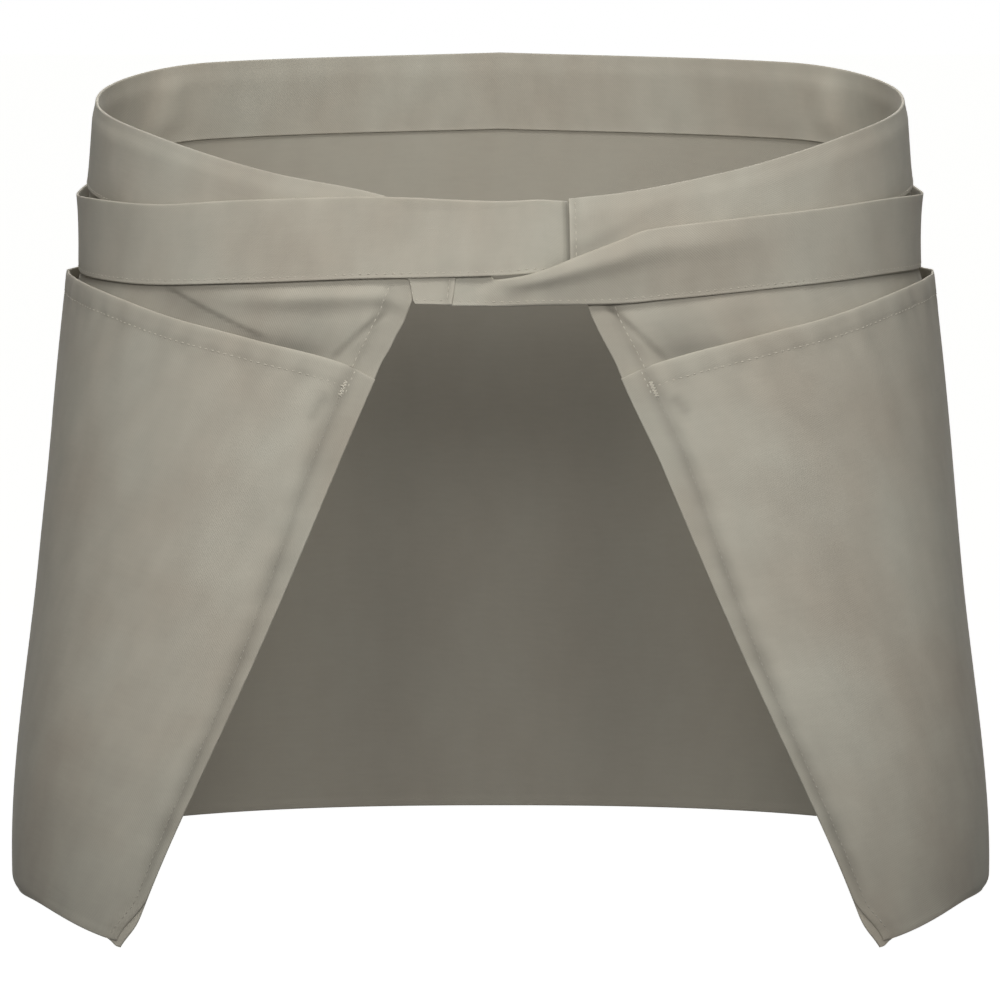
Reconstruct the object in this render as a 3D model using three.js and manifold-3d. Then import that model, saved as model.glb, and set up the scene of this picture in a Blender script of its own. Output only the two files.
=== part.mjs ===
// A waist apron of cotton twill, as it hangs when tied on. Millimetres, +Z up.
// The wearer's front is +Y and the open back is -Y.
// The origin is the middle of the waist, level with the ties.
import * as THREE from 'three';
import * as BufferGeometryUtils from 'three/addons/utils/BufferGeometryUtils.js';
import Module from 'manifold-3d';

const wasm = await Module();
wasm.setup();

// Driving sizes
const RIM_HEIGHT = 82; // the front of the rim above the origin
const PANEL_DROP = 371; // rim to hem, straight down
const CLOTH = 1.0; // one layer of twill
const TIE_CLOTH = 1.2; // a tie is folded and pressed
const SEWN_GAP = 0.4; // between two layers that are sewn together
const BAND_INSIDE = 37; // the waistband's inner leg
const BAND_LEFT_END = -173; // degrees round from the front
const BAND_RIGHT_END = 168;
const SIDE_HEM = 13; // the folded hem on the panel's side edges
const HEM_FOLD = 0.6; // what a hem's turning adds to the thickness
const POCKET_MOUTH = 3.5; // how far the pocket's mouth stands open
const POCKET_MOUTH_FADE = 110; // and how far down it closes
const POCKET_SEW_TURN = 25; // degrees from the side edge over which the mouth opens

// Half-sizes of the panel from the rim down, with how far round from the front each side edge lies
const SECTIONS = [
  { down: 0, halfWidth: 183, halfDepth: 139.5, edgeTurn: 164.5, frontPower: 2.05, backPower: 2.35 },
  { down: 45, halfWidth: 186.5, halfDepth: 143.5, edgeTurn: 165.5, frontPower: 2.1, backPower: 2.4 },
  { down: 85, halfWidth: 192.5, halfDepth: 147, edgeTurn: 160, frontPower: 2.12, backPower: 2.42 },
  { down: 220, halfWidth: 208, halfDepth: 158.5, edgeTurn: 145.3, frontPower: 2.22, backPower: 2.53 },
  { down: 356, halfWidth: 221.6, halfDepth: 170.9, edgeTurn: 132, frontPower: 2.34, backPower: 2.64 },
  { down: PANEL_DROP, halfWidth: 221.4, halfDepth: 171, edgeTurn: 130.5, frontPower: 2.35, backPower: 2.65 },
];

// How far the rim and the hem fall below their front, by degrees round from the front
const RIM_SAG = [
  { turn: 0, left: 0, right: 0 },
  { turn: 55, left: 4.5, right: 4.5 },
  { turn: 90, left: 19, right: 19 },
  { turn: 115, left: 32, right: 32 },
  { turn: 142, left: 51.5, right: 51 },
  { turn: 160, left: 61, right: 60 },
  { turn: 165, left: 67.2, right: 61.3 },
  { turn: 173, left: 67.4, right: 63.5 },
  { turn: 180, left: 67, right: 67 },
];
const HEM_SAG = [
  { turn: 0, sag: 0 },
  { turn: 55, sag: 0 },
  { turn: 90, sag: 8.8 },
  { turn: 112, sag: 4.5 },
  { turn: 132, sag: 16 },
  { turn: 180, sag: 20 },
];

// The pocket's top edge below the rim
const POCKET_TOP = [
  { turn: 0, down: 79 },
  { turn: 133, down: 79 },
  { turn: 145, down: 81 },
  { turn: 153, down: 84 },
  { turn: 161, down: 91 },
];

// The waistband's outer leg, drawn down at its left end
const BAND_OUTSIDE = [
  { turn: BAND_LEFT_END, leg: 46.5 },
  { turn: -166, leg: 46.5 },
  { turn: -161, leg: 39.5 },
  { turn: BAND_RIGHT_END, leg: 39.5 },
];

// Soft folds in the panel and in the pocket; lean is mm down for each degree round
const PANEL_FOLDS = [
  { turn: -151, down: 80, spanTurn: 7, spanDown: 14, lean: 0, depth: -3.5 },
  { turn: -143, down: 56.4, spanTurn: 8, spanDown: 4.5, lean: 0.475, depth: 1.6 },
  { turn: -147, down: 61.5, spanTurn: 11, spanDown: 3.5, lean: 0.475, depth: -1.6 },
  { turn: -135, down: 72, spanTurn: 9, spanDown: 3, lean: -0.73, depth: -1.8 },
  { turn: 152, down: 79, spanTurn: 6, spanDown: 13, lean: 0, depth: -3 },
];
const POCKET_FOLDS = [
  { turn: -84, down: 150, spanTurn: 8, spanDown: 60, lean: 0, depth: 1.5 },
  { turn: 84, down: 150, spanTurn: 8, spanDown: 60, lean: 0, depth: 1.5 },
  { turn: -125, down: 300, spanTurn: 10, spanDown: 50, lean: 0, depth: 1.2 },
  { turn: 125, down: 300, spanTurn: 10, spanDown: 50, lean: 0, depth: 1.2 },
];

// The ties from their sewn end, across the back, round the side and up to the knot. turn goes on past 180,
// height is the middle of the tie above the origin, out is how far its middle lies from the panel's.
const TIE_TO_KNOT = [
  { turn: 270, height: 2, width: 33, out: 2.9, thick: TIE_CLOTH },
  { turn: 300, height: 16.8, width: 33, out: 2.9, thick: TIE_CLOTH },
  { turn: 330, height: 20.8, width: 32, out: 3.4, thick: TIE_CLOTH },
  { turn: 344, height: 21.8, width: 29, out: 6, thick: TIE_CLOTH },
  { turn: 352.27, height: 22, width: 17, out: 9.6, thick: TIE_CLOTH },
];
const RIGHT_TIE = [
  { turn: 166.3, height: 1.3, width: 34, out: 0, thick: TIE_CLOTH },
  { turn: 169, height: 2, width: 33.4, out: 0.1, thick: TIE_CLOTH },
  { turn: 173, height: 3.6, width: 31.6, out: 0.3, thick: TIE_CLOTH },
  { turn: 177, height: 3, width: 32, out: 0.9, thick: TIE_CLOTH },
  { turn: 181, height: 2.6, width: 32.4, out: 2.4, thick: TIE_CLOTH },
  { turn: 185, height: 2.6, width: 33, out: 2.9, thick: TIE_CLOTH },
  { turn: 197.5, height: 2.9, width: 35, out: 2.9, thick: TIE_CLOTH },
  { turn: 222, height: 0.4, width: 36, out: 2.9, thick: TIE_CLOTH },
  { turn: 237, height: -1.8, width: 35, out: 2.9, thick: TIE_CLOTH },
  { turn: 250, height: -0.6, width: 35, out: 2.9, thick: TIE_CLOTH },
  ...TIE_TO_KNOT,
];
const LEFT_TIE = [
  { turn: 171, height: -9.3, width: 34, out: 0, thick: TIE_CLOTH },
  { turn: 173.6, height: -9.5, width: 33.6, out: 0, thick: TIE_CLOTH },
  { turn: 177, height: -14.3, width: 24, out: -0.2, thick: TIE_CLOTH },
  { turn: 179, height: -20.7, width: 11.6, out: 0.2, thick: 1.6 },
  { turn: 183, height: -20.2, width: 12.6, out: 1.7, thick: 2.6 },
  { turn: 187, height: -18.8, width: 14.8, out: 2.9, thick: 2.4 },
  { turn: 193.5, height: -15.5, width: 21, out: 3.3, thick: 1.8 },
  { turn: 200, height: -12.1, width: 27, out: 3.1, thick: 1.5 },
  { turn: 204.5, height: -9.4, width: 30.5, out: 2.9, thick: TIE_CLOTH },
  { turn: 213, height: -6.9, width: 31.4, out: 2.9, thick: TIE_CLOTH },
  { turn: 229, height: -2.7, width: 32, out: 2.9, thick: TIE_CLOTH },
  { turn: 249, height: 1.4, width: 33, out: 2.9, thick: TIE_CLOTH },
  ...TIE_TO_KNOT,
];

// The knot at the front and the tails that hang from it
const KNOT = { height: 22, out: 9.6, halfWidth: 20, halfDepth: 7, halfHeight: 17 };
const TAIL_LENGTH = 130;
const TAIL_WIDTH = 28;
const TAIL_GATHER = 0.5; // share of its width that a tail has at the knot
const TAIL_SPREAD = 0.33; // share of its length in which it spreads to the whole width
const TAIL_REST = 0.5; // share of its length in which it comes to rest on the pocket
const TAILS = [
  { startTurn: -2.5, endTurn: -13 },
  { startTurn: 2.5, endTurn: 13 },
];

// Facets
const COLUMNS = 60;
const BAND_STEPS = 66;
const TIE_STEPS = 74;

// A smooth curve through a table's rows that never overshoots them
function curveThrough(rows, along, column) {
  const x = rows.map((row) => row[along]);
  const y = rows.map((row) => row[column]);
  const rise = x.slice(1).map((value, i) => (y[i + 1] - y[i]) / (value - x[i]));
  const slope = x.map((_, i) => {
    const before = rise[i - 1] ?? rise[i];
    const after = rise[i] ?? before;
    return before * after > 0 ? (2 * before * after) / (before + after) : 0;
  });
  return (at) => {
    const value = THREE.MathUtils.clamp(at, x[0], x[x.length - 1]);
    const i = Math.max(0, x.findLastIndex((start, k) => start <= value && k < x.length - 1));
    const step = x[i + 1] - x[i];
    const t = (value - x[i]) / step;
    const hermite = y[i] * (1 + 2 * t) * (1 - t) ** 2 + y[i + 1] * t * t * (3 - 2 * t);
    return hermite + step * t * (1 - t) * (slope[i] * (1 - t) - slope[i + 1] * t);
  };
}

const halfWidth = curveThrough(SECTIONS, 'down', 'halfWidth');
const halfDepth = curveThrough(SECTIONS, 'down', 'halfDepth');
const frontPower = curveThrough(SECTIONS, 'down', 'frontPower');
const backPower = curveThrough(SECTIONS, 'down', 'backPower');
const edgeTurn = curveThrough(SECTIONS, 'down', 'edgeTurn');
const rimSag = { left: curveThrough(RIM_SAG, 'turn', 'left'), right: curveThrough(RIM_SAG, 'turn', 'right') };
const hemSag = curveThrough(HEM_SAG, 'turn', 'sag');
const pocketTop = curveThrough(POCKET_TOP, 'turn', 'down');
const bandOutside = curveThrough(BAND_OUTSIDE, 'turn', 'leg');

// Degrees round, brought to -180 to 180
const wrapped = (turn) => THREE.MathUtils.euclideanModulo(turn + 180, 360) - 180;

function sags(turn) {
  const round = wrapped(turn);
  const rim = round < 0 ? rimSag.left : rimSag.right;
  return { rim: rim(Math.abs(round)), hem: hemSag(Math.abs(round)) };
}

// A point of the panel's middle surface
function middle(turn, down) {
  const angle = THREE.MathUtils.degToRad(turn);
  const across = Math.sin(angle);
  const ahead = Math.cos(angle);
  const power = ahead > 0 ? frontPower(down) : backPower(down);
  const wide = Math.abs(across / halfWidth(down)) ** power;
  const deep = Math.abs(ahead / halfDepth(down)) ** power;
  const reach = (wide + deep) ** (-1 / power);
  const { rim, hem } = sags(turn);
  const share = down / PANEL_DROP;
  const height = RIM_HEIGHT - down - rim * (1 - share) - hem * share;
  return new THREE.Vector3(reach * across, reach * ahead, height);
}

// The way down to a height, at some degrees round
function downAt(turn, height) {
  const { rim, hem } = sags(turn);
  return (RIM_HEIGHT - rim - height) / (1 - (rim - hem) / PANEL_DROP);
}

// A point that lies out from the panel's middle surface
function layered(turn, down, out) {
  const stepTurn = 0.5;
  const stepDown = 1;
  const round = middle(turn + stepTurn, down).sub(middle(turn - stepTurn, down));
  const fall = middle(turn, down + stepDown).sub(middle(turn, down - stepDown));
  return middle(turn, down).addScaledVector(round.cross(fall).normalize(), out);
}

function foldDepth(folds, turn, down) {
  return folds.reduce((sum, fold) => {
    const across = (turn - fold.turn) / fold.spanTurn;
    const along = (down - fold.down - fold.lean * (turn - fold.turn)) / fold.spanDown;
    return sum + fold.depth * Math.exp(-across * across - along * along);
  }, 0);
}

// The wall of a solid from rings of points that all run the same way round. From ring point turned on, its
// quads are split along their other diagonal, so that a thin sheet's two faces stay parallel.
function loft(rings, turned = Infinity) {
  const size = rings[0].length;
  const positions = rings.flat().flatMap((point) => [point.x, point.y, point.z]);
  const index = [];
  for (let r = 0; r < rings.length - 1; r += 1) {
    for (let k = 0; k < size; k += 1) {
      const a = r * size + k;
      const b = r * size + ((k + 1) % size);
      const [c, d] = [a + size, b + size];
      index.push(...(k < turned ? [a, c, b, b, c, d] : [a, c, d, a, d, b]));
    }
  }
  return { positions, index, last: (rings.length - 1) * size };
}

function finishGeometry({ positions, index }) {
  const geometry = new THREE.BufferGeometry();
  geometry.setAttribute('position', new THREE.Float32BufferAttribute(positions, 3));
  geometry.setIndex(index);
  geometry.computeVertexNormals();
  return geometry;
}

// A thin sheet, from a rule that gives its outer and inner point at each step across and down
function sheetGeometry(across, downs, faceAt) {
  const rings = across.map((u) => {
    const outer = downs.map((v) => faceAt(u, v, 1));
    const inner = downs.map((v) => faceAt(u, v, -1));
    return [...outer, ...inner.reverse()];
  });
  const rows = downs.length;
  const solid = loft(rings, rows);
  for (let v = 0; v < rows - 1; v += 1) {
    const [a, b, c, d] = [v, v + 1, 2 * rows - 2 - v, 2 * rows - 1 - v];
    solid.index.push(a, b, c, a, c, d);
    solid.index.push(...[a, c, b, a, d, c].map((k) => k + solid.last));
  }
  return finishGeometry(solid);
}

// Even steps from one value to another
const steps = (from, to, count) =>
  Array.from({ length: count + 1 }, (_, i) => from + ((to - from) * i) / count);

// Steps across a sheet, closer together where its side hems step down
function columnSteps(hemShare) {
  const inner = 1 - hemShare;
  const step = 0.003;
  return [-1, -inner, ...steps(-inner + step, inner - step, COLUMNS), inner, 1];
}

const HALF_GIRTH = 490; // half the panel's width along the cloth
const HEM_SHARE = SIDE_HEM / HALF_GIRTH;
const ACROSS = columnSteps(HEM_SHARE);
// Rows down the cloth: shares of the way from the rim to the pocket's top edge, then on to the hem
const UPPER_ROWS = [0, 0.28, 0.57, 0.66, 0.76, 0.88];
const LOWER_ROWS = [0, 0.035, 0.07, 0.13, 0.22, 0.34, 0.48, 0.64, 0.82, 1];
const PANEL_TOP = 1.6; // the panel's raw edge, inside the waistband
const HEM_START = BAND_INSIDE + 12; // the side hems begin clear of the waistband

// The pocket's top edge below the rim, at a share of the way across
function pocketTopAcross(u) {
  const edge = edgeTurn(POCKET_TOP.at(-1).down);
  return pocketTop(Math.abs(u) * edge);
}

function skirtPanel() {
  const rows = [...UPPER_ROWS.map((share) => share - 1), ...LOWER_ROWS];
  return sheetGeometry(ACROSS, rows, (u, row, side) => {
    const top = pocketTopAcross(u);
    const down = THREE.MathUtils.lerp(top, row < 0 ? PANEL_TOP : PANEL_DROP, Math.abs(row));
    const turn = u * edgeTurn(down);
    const hemmed = Math.abs(u) >= 1 - HEM_SHARE && down > HEM_START && side < 0;
    const hem = hemmed ? HEM_FOLD : 0;
    const out = foldDepth(PANEL_FOLDS, turn, down) + side * (CLOTH / 2 + hem);
    return layered(turn, down, out);
  });
}

function pocketPanel() {
  return sheetGeometry(ACROSS, LOWER_ROWS, (u, row, side) => {
    const top = pocketTopAcross(u);
    const down = THREE.MathUtils.lerp(top, PANEL_DROP, row);
    const turn = u * edgeTurn(down);
    const free = THREE.MathUtils.smoothstep((1 - Math.abs(u)) * edgeTurn(down), 0, POCKET_SEW_TURN);
    const mouth = POCKET_MOUTH * free * Math.exp((top - down) / POCKET_MOUTH_FADE);
    const crease = free * foldDepth(POCKET_FOLDS, turn, down);
    return layered(turn, down, CLOTH / 2 + SEWN_GAP + mouth + crease + (side > 0 ? CLOTH : 0));
  });
}

function waistband() {
  const slot = CLOTH / 2 + SEWN_GAP;
  const face = slot + CLOTH;
  const section = (outside) => [
    { down: 0, out: face },
    { down: outside, out: face },
    { down: outside, out: slot },
    { down: SEWN_GAP, out: slot },
    { down: SEWN_GAP, out: -slot },
    { down: BAND_INSIDE, out: -slot },
    { down: BAND_INSIDE, out: -face },
    { down: 0, out: -face },
    { down: -CLOTH, out: -slot },
    { down: -CLOTH, out: slot },
  ];
  const ring = (turn) => section(bandOutside(turn)).map(({ down, out }) => layered(turn, down, out));
  const solid = loft(steps(BAND_LEFT_END, BAND_RIGHT_END, BAND_STEPS).map(ring));
  const outerLeg = [0, 1, 2, 0, 2, 3];
  const topFold = [9, 0, 3, 9, 3, 4, 9, 4, 8, 8, 4, 7];
  const innerLeg = [4, 5, 6, 4, 6, 7];
  const cap = [...outerLeg, ...topFold, ...innerLeg];
  solid.index.push(...cap, ...cap.toReversed().map((k) => k + solid.last));
  return finishGeometry(solid);
}

function tie(rows, mirror) {
  const column = (name) => curveThrough(rows, 'turn', name);
  const [height, width, out, thick] = ['height', 'width', 'out', 'thick'].map(column);
  const turns = steps(rows[0].turn, rows[rows.length - 1].turn, TIE_STEPS);
  const shares = [0.5, 0.17, -0.17, -0.5];
  return sheetGeometry(mirror > 0 ? turns : turns.reverse(), shares, (turn, share, side) => {
    const round = mirror * turn;
    const down = downAt(round, height(turn) + share * width(turn));
    return layered(round, down, out(turn) + (side * thick(turn)) / 2);
  });
}

function tailGeometry({ startTurn, endTurn }) {
  const startDown = RIM_HEIGHT - KNOT.height;
  const halfTurn = THREE.MathUtils.radToDeg(TAIL_WIDTH / 2 / halfDepth(startDown));
  const clear = CLOTH + POCKET_MOUTH + CLOTH + SEWN_GAP + TIE_CLOTH;
  return sheetGeometry(steps(-1, 1, 3), steps(0, 1, 8), (u, share, side) => {
    const spread = THREE.MathUtils.lerp(TAIL_GATHER, 1, Math.min(1, share / TAIL_SPREAD));
    const turn = THREE.MathUtils.lerp(startTurn, endTurn, share) + u * halfTurn * spread;
    const out = THREE.MathUtils.lerp(KNOT.out, clear, Math.min(1, share / TAIL_REST));
    return layered(turn, startDown + TAIL_LENGTH * share, out + (side * TIE_CLOTH) / 2);
  });
}

function solidOf(geometry) {
  const bare = geometry.clone();
  bare.deleteAttribute('normal');
  bare.deleteAttribute('uv');
  const merged = BufferGeometryUtils.mergeVertices(bare);
  const vertProperties = Float32Array.from(merged.attributes.position.array);
  const triVerts = Uint32Array.from(merged.index.array);
  return new wasm.Manifold(new wasm.Mesh({ numProp: 3, vertProperties, triVerts }));
}

function frontKnot() {
  const lump = new THREE.SphereGeometry(1, 18, 12).rotateX(Math.PI / 2);
  const centre = layered(0, RIM_HEIGHT - KNOT.height, KNOT.out);
  lump.scale(KNOT.halfWidth, KNOT.halfDepth, KNOT.halfHeight).translate(centre.x, centre.y, centre.z);
  const joined = TAILS.reduce((solid, tail) => solid.add(solidOf(tailGeometry(tail))), solidOf(lump));
  const mesh = joined.getMesh();
  return finishGeometry({ positions: Array.from(mesh.vertProperties), index: Array.from(mesh.triVerts) });
}

const twill = (color) => new THREE.MeshStandardMaterial({ color, roughness: 0.9, metalness: 0 });

const PIECES = [
  { name: 'skirt_panel', geometry: skirtPanel(), color: 0x8f8a7d },
  { name: 'pocket_panel', geometry: pocketPanel(), color: 0xa5a192 },
  { name: 'waistband', geometry: waistband(), color: 0x9f998b },
  { name: 'tie_right', geometry: tie(RIGHT_TIE, 1), color: 0xa8a496 },
  { name: 'tie_left', geometry: tie(LEFT_TIE, -1), color: 0xa39e90 },
  { name: 'front_knot', geometry: frontKnot(), color: 0xa39e90 },
];

const apron = new THREE.Group();
for (const { name, geometry, color } of PIECES) {
  const mesh = new THREE.Mesh(geometry, twill(color));
  mesh.name = name;
  apron.add(mesh);
}

export default apron;
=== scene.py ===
"""A waist apron of stone-grey cotton twill, as it hangs when tied on.

Tables are in millimetres and degrees, meshes in metres. +Z is up, the wearer's front is +Y and the open
back is -Y. The origin is the middle of the waist, level with the ties.
"""
import math
from collections import namedtuple

import bpy
import numpy as np
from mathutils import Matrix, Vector


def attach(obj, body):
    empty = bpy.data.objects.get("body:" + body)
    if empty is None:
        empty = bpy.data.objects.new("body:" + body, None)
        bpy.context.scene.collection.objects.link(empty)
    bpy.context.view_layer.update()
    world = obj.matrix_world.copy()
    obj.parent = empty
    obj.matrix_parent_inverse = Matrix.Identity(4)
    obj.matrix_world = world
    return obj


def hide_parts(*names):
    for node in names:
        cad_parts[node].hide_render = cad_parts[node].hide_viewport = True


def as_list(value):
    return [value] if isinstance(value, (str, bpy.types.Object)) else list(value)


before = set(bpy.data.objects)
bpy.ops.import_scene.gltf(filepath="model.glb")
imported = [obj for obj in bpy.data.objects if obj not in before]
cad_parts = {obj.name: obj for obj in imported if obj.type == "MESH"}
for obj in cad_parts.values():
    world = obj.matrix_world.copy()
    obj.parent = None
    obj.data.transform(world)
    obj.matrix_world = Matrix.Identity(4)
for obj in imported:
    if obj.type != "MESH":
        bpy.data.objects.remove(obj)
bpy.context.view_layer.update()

MM = 0.001


def table(columns, *rows):
    """Rows with named columns."""
    row_type = namedtuple("Row", columns)
    return [row_type(*row) for row in rows]



# Driving sizes
RIM_HEIGHT = 82  # the front of the rim above the origin
PANEL_DROP = 371  # rim to hem, straight down
HALF_GIRTH = 490  # half the panel's width along the cloth
TURN_MM = 2.75  # along the cloth for each degree round
CLOTH = 1.0  # one layer of twill
TIE_CLOTH = 1.2  # a tie is folded and pressed
SEWN_GAP = 0.4  # between two layers that are sewn together
BAND_INSIDE = 37  # the waistband's inner leg
BAND_LEFT_END = -173  # degrees round from the front
BAND_RIGHT_END = 168
PANEL_TOP = 1.6  # the panel's raw edge, inside the waistband
POCKET_HEM = 10  # the pocket hem's stitching, below its top edge
LOWER_HEM = 4  # the narrow hem along the bottom
POCKET_EDGE = 0.7  # the pocket's side edges reach past the panel's
POCKET_MOUTH = 3.5  # how far the pocket's mouth stands open
POCKET_MOUTH_FADE = 110  # and how far down it closes
POCKET_SEW_TURN = 25  # degrees from the side edge over which the mouth opens

SECTIONS = table(
    "down half_width half_depth edge_turn front_power back_power",
    (0, 183, 139.5, 164.5, 2.05, 2.35),
    (45, 186.5, 143.5, 165.5, 2.1, 2.4),
    (85, 192.5, 147, 160, 2.12, 2.42),
    (220, 208, 158.5, 145.3, 2.22, 2.53),
    (356, 221.6, 170.9, 132, 2.34, 2.64),
    (PANEL_DROP, 221.4, 171, 130.5, 2.35, 2.65),
)

# How far the rim and the hem fall below their front, by degrees round from the front
RIM_SAG = table(
    "turn left right",
    (0, 0, 0),
    (55, 4.5, 4.5),
    (90, 19, 19),
    (115, 32, 32),
    (142, 51.5, 51),
    (160, 61, 60),
    (165, 67.2, 61.3),
    (173, 67.4, 63.5),
    (180, 67, 67),
)
HEM_SAG = table(
    "turn sag",
    (0, 0),
    (55, 0),
    (90, 8.8),
    (112, 4.5),
    (132, 16),
    (180, 20),
)

# The pocket's top edge below the rim
POCKET_TOP = table(
    "turn down",
    (0, 79),
    (55, 80.5),
    (80, 85),
    (96, 80),
    (108, 79),
    (133, 79),
    (145, 81),
    (153, 84),
    (161, 91),
)

# The waistband's outer leg, drawn down at its left end
BAND_OUTSIDE = table(
    "turn leg",
    (BAND_LEFT_END, 46.5),
    (-165.6, 46.5),
    (-164.5, 34.5),
    (-160, 39.5),
    (BAND_RIGHT_END, 39.5),
)

# The side hems' stitching, in from the edge; the hems turn in as they hang, and show less of their width
SIDE_HEMS = table(
    "down width",
    (60, 11.5),
    (130, 11.5),
    (190, 8.5),
    (250, 6),
    (PANEL_DROP, 4.5),
)

# Degrees that straighten the side edges between the band and the pocket's corners
EDGE_TRIM = table(
    "down left right",
    (40, 0, 0),
    (53, -0.9, 0.1),
    (60, -0.9, 0.2),
    (75, -0.2, 0.5),
    (88, 0, 0.6),
    (130, 0, 0),
)
TRIM_POWER = 8  # keeps the trim to the edge

# Soft folds; lean is mm down for each degree round
Fold = namedtuple("Fold", "turn down span_turn span_down lean depth")


def both_sides(*folds):
    """Folds that lie alike at the left and at the right."""
    return [fold._replace(turn=side * fold.turn) for fold in folds for side in (-1, 1)]


HEM_FOLDS = both_sides(Fold(97, PANEL_DROP, 14, 3.2, 0, -3))
PANEL_FOLDS = [
    Fold(-151, 80, 7, 14, 0, -3.5),
    Fold(-146, 57.4, 8, 4.4, 0.575, 1.6),
    Fold(-157, 51.1, 8, 4.4, 0.575, 1.5),
    Fold(-149, 63.5, 12, 4, 0.575, -0.4),
    *both_sides(Fold(92, 69, 26, 15, 0, -2.6)),
    Fold(143, 63, 7, 9, 0, 0.9),
    Fold(152, 79, 6, 13, 0, -3),
    *HEM_FOLDS,
]
POCKET_FOLDS = [
    *both_sides(Fold(77, 82, 13, 20, 0, -2.6), Fold(84, 150, 8, 60, 0, 1.5)),
    Fold(-136, 150, 9, 45, 0.8, 0.8),
    Fold(138, 150, 9, 45, -0.8, 0.8),
    *both_sides(Fold(125, 300, 10, 50, 0, 1.2)),
    *HEM_FOLDS,
]
BAND_FOLDS = [
    Fold(-64, 18, 3.5, 30, 0, 1.5),
    Fold(63, 18, 3.5, 30, 0, 1.5),
]

# Painted light and shade: paler and darker places of the cloth, as shares of its tone, laid out as the folds
# are.
# They paint shadows in hollows, at the pocket's mouth, under edges and where the ties cross, shade where the
# cloth turns from the light, and a few highlights. down is the place on the waistband, and the height above
# the lower edge on a tie
PANEL_PAINTED_SHADE = [
    Fold(-148.5, 82, 5.5, 8, 0, -0.34),
    Fold(-149, 64, 10, 4, 0.575, -0.08),
    Fold(-131, 70, 14, 12, 0, -0.14),
    Fold(150.7, 81, 4.5, 8, 0, -0.34),
    Fold(-144, 80, 6, 5, 0, -0.2),
    Fold(145, 80, 6, 5, 0, -0.2),
    Fold(-104, 72, 14, 12, 0, -0.08),
]
BAND_PAINTED_LIGHT_AND_SHADE = [
    Fold(-64, 18, 7, 30, 0, 0.2),
    Fold(63, 18, 7, 30, 0, 0.2),
    Fold(163, 66, 6, 5, 1.3, -0.2),
    Fold(-140, 60, 16, 14, 0, -0.06),
]
RIGHT_TIE_PAINTED_SHADE = [
    Fold(168.2, 17, 0.26, 40, 0, -0.5),
    Fold(169.5, 2, 2.5, 7, 0, -0.25),
]
LEFT_TIE_PAINTED_LIGHT_AND_SHADE = [
    Fold(205, 7, 16, 9, 0, -0.14),
    Fold(189, 7, 8, 8, 0, -0.1),
    Fold(181, 3, 6, 4, 1.2, -0.13),
    Fold(178, 8.5, 4, 2, 1.2, 0.07),
]

# Sharp creases from one place to another; step is how far out the cloth lies on their lower side
Crease = namedtuple("Crease", "turn down to_turn to_down width groove step")
PANEL_CREASES = [
    Crease(-126.6, 66.4, -142.2, 77.5, 0.8, 0.4, -0.9),
    Crease(-160.5, 57, -152.5, 83.2, 1.3, 0.9, 0),
    Crease(162.5, 52, 152.9, 83, 1.3, 0.9, 0),
]
POCKET_CREASES = [
    Crease(-152.3, 100.5, -150, 114.6, 2.4, 0.6, 0),
    Crease(152.5, 101.4, 150.4, 111.5, 2.4, 0.6, 0),
]
CREASE_FADE = 14  # how far from a crease its step evens out
CREASE_TAPER = 0.12  # share of its length in which each end of a crease dies away
CREASE_SHADE = 0.22  # painted shade in a crease, for each mm of its depth
POCKET_CREASE_SHADE = 0.3

# Slow unevenness of the cloth; drift is how much a wave shifts across its way
Wave = namedtuple("Wave", "height length drift seed")
POCKET_WAVE = Wave(0.45, 75, 1.5, 7.0)
POCKET_CRINKLE = Wave(0.22, 17, 0.6, 9.0)  # fine and upright, at the sides below its top edge
BAND_WAVE = Wave(0.3, 90, 3, 5.0)
RIGHT_TIE_WAVE = Wave(0.4, 62, 2, 1.0)
LEFT_TIE_WAVE = Wave(0.4, 62, 2, 2.4)

# The ties from their sewn end, across the back, round the side and up to the knot. turn goes on past 180,
# height is the middle of the tie above the origin, out is how far its middle lies from the panel's, tilt
# is how much further out its upper edge lies than its lower one, and roll is how far that edge rolls over.
TieRow = namedtuple("TieRow", "turn height width out tilt roll thick", defaults=(0, TIE_CLOTH))
TIE_TO_KNOT = [
    TieRow(270, 2, 33, 2.5, 6.4),
    TieRow(300, 16.8, 33, 2.9, 3),
    TieRow(330, 20.8, 32, 3.4, 0),
    TieRow(344, 21.8, 29, 6, 0),
    TieRow(352.27, 22, 17, 9.6, 0),
]
RIGHT_TIE = [
    TieRow(166.3, 1.3, 34, 0, 0),
    TieRow(168.1, 1.7, 33.7, -0.9, 0.4),
    TieRow(169.3, 2, 33.4, 1, 1.8),
    TieRow(173, 3.6, 31.6, 1.2, 1.2),
    TieRow(177, 3, 32, 1.5, 0),
    TieRow(181, 2.6, 32.4, 2.4, 0),
    TieRow(185, 2.6, 33, 2.9, 0),
    TieRow(197.5, 2.9, 35, 2.9, 0),
    TieRow(222, 0.4, 36, 2.9, 0.6),
    TieRow(237, -1.8, 35, 2.9, 3),
    TieRow(250, -0.6, 35, 2.8, 4.6),
    *TIE_TO_KNOT,
]
LEFT_TIE = [
    TieRow(171, -9.3, 34, 0, 0),
    TieRow(173.6, -9.5, 33.6, 0, 0),
    TieRow(177, -14.3, 24, -0.2, 0),
    TieRow(179, -20.7, 11.6, 0.2, 0, 0, 1.6),
    TieRow(183, -20.2, 12.6, 1.9, 1, 0.9, 2.6),
    TieRow(187, -18.8, 14.8, 3.6, 2, 1.8, 2.4),
    TieRow(193.5, -15.5, 21, 4.4, 3, 2.4, 1.8),
    TieRow(200, -12.1, 27, 4.4, 3.4, 2.7, 1.5),
    TieRow(204.5, -9.4, 30.5, 4.2, 3.6, 2.5),
    TieRow(213, -6.9, 31.4, 4, 3.6, 1.5),
    TieRow(229, -2.7, 32, 3.3, 3.6),
    TieRow(249, 1.4, 33, 2.8, 4.4),
    *TIE_TO_KNOT,
]
ROLL_SHARE = 0.22  # where a tie's roll is highest, from 0.5 at its upper edge
ROLL_SPAN = 0.2


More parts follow.
